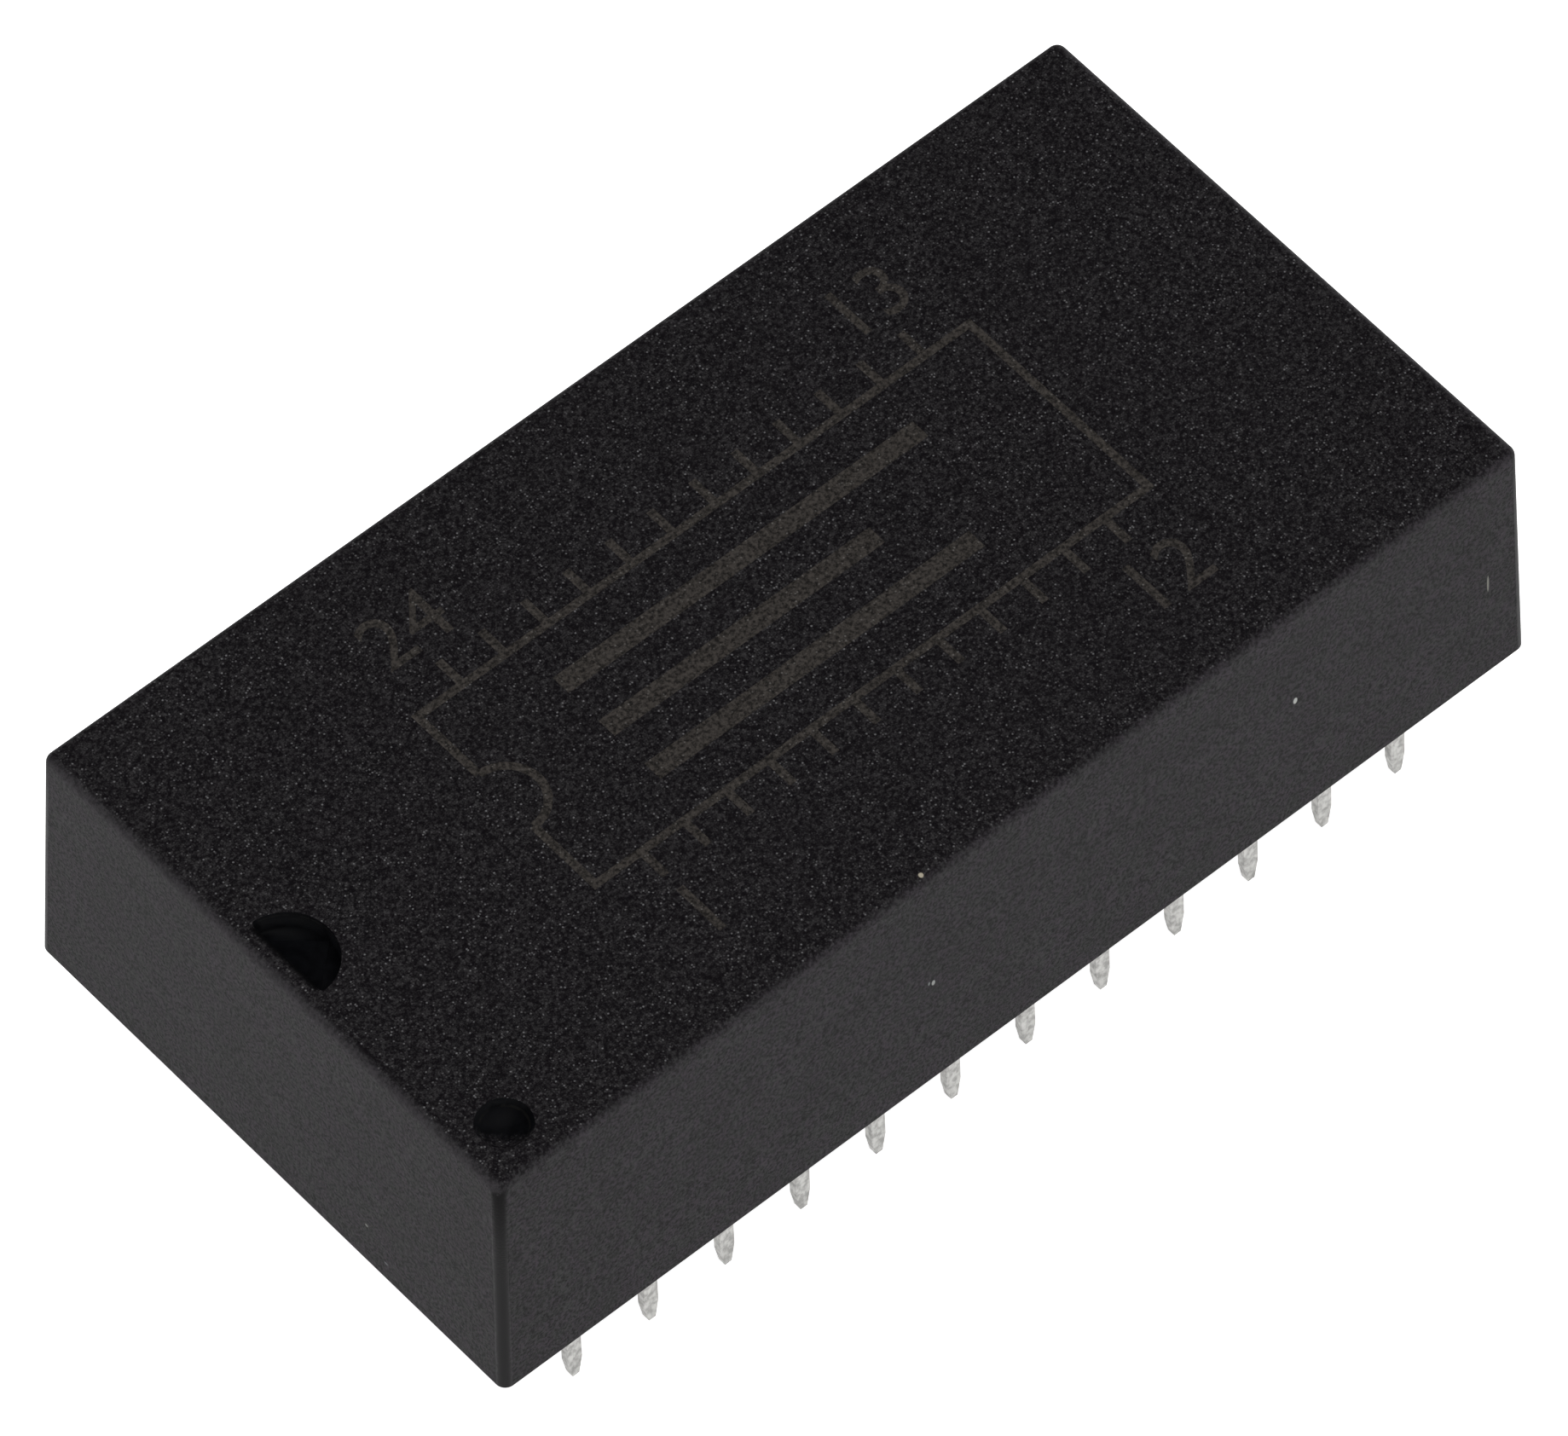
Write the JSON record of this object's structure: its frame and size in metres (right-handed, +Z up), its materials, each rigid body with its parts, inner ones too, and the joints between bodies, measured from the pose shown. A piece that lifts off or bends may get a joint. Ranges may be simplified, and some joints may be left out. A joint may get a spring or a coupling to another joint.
{
  "type": "nvram chip",
  "caption": "Battery-backed clock memory in a wide dual-in-line package: tall black moulded cap with an index recess over two rows of tinned leads.",
  "frame": {"origin": "middle of the package on the surface that the lead tips stand on", "axes": "+X along the package, away from the index recess and lead 1; +Y towards the row of leads 13 to 24; +Z up, out of the top face"},
  "size_m": [0.0344, 0.018, 0.0122],
  "materials": {
    "cap": "spark-eroded top, fine matte sides",
    "potting": "cast epoxy resin, low gloss",
    "ic_body": "moulded epoxy, matte",
    "tin_plate": "matte tin plating on copper alloy",
    "lead_frame": "bare copper alloy strip",
    "silicon": "dark polished silicon",
    "cell_steel": "nickel-plated steel can",
    "tab_nickel": "nickel strip",
    "crystal_case": "drawn metal can",
    "crystal_wire": "tinned wire"
  },
  "bodies": {
    "root": {"cap": "cap", "potting": "potting", "ic_body": "ic_body", "lead_01": "tin_plate", "lead_02": "tin_plate", "lead_03": "tin_plate", "lead_04": "tin_plate", "lead_05": "tin_plate", "lead_06": "tin_plate", "lead_07": "tin_plate", "lead_08": "tin_plate", "lead_09": "tin_plate", "lead_10": "tin_plate", "lead_11": "tin_plate", "lead_12": "tin_plate", "lead_13": "tin_plate", "lead_14": "tin_plate", "lead_15": "tin_plate", "lead_16": "tin_plate", "lead_17": "tin_plate", "lead_18": "tin_plate", "lead_19": "tin_plate", "lead_20": "tin_plate", "lead_21": "tin_plate", "lead_22": "tin_plate", "lead_23": "tin_plate", "lead_24": "tin_plate", "crystal_contact_a": "lead_frame", "crystal_contact_b": "lead_frame", "cell_contact_positive": "lead_frame", "cell_contact_negative": "lead_frame", "die_paddle": "lead_frame", "die": "silicon", "lithium_cell": "cell_steel", "cell_tab_positive": "tab_nickel", "cell_tab_negative": "tab_nickel", "crystal_can": "crystal_case", "crystal_wire_a": "crystal_wire", "crystal_wire_b": "crystal_wire"}
  },
  "joints": []
}
